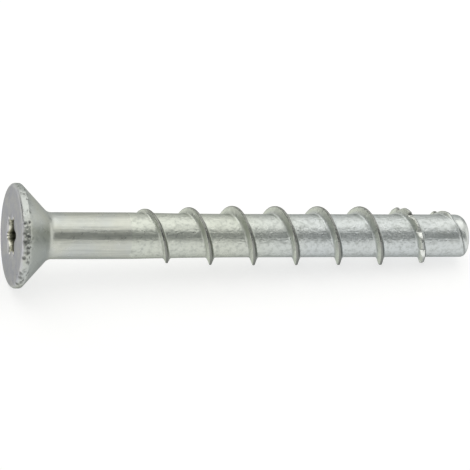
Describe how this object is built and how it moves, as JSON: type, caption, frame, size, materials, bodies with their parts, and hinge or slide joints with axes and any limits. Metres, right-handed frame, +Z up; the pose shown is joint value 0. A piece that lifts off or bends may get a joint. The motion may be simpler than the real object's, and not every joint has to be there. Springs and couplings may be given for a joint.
{
  "type": "concrete screw",
  "caption": "Zinc-plated countersunk concrete screw with a six-lobed drive, a plain neck and a coarse rolled thread whose last turns are notched into cutting teeth.",
  "frame": {"origin": "on the floor under the middle of the lying screw's box", "axes": "+X runs from the head to the tip along the floor, +Z up; the screw lies on its head rim and on two cutting teeth, so its own axis dips about 3 degrees towards the tip"},
  "size_m": [0.1006, 0.0216, 0.0217],
  "materials": {
    "zinc_plated_steel": "thin bright zinc plating, satin, with a faint yellow-green tint and nicks on the head rim"
  },
  "bodies": {
    "root": {"concrete_screw": "zinc_plated_steel"}
  },
  "joints": []
}
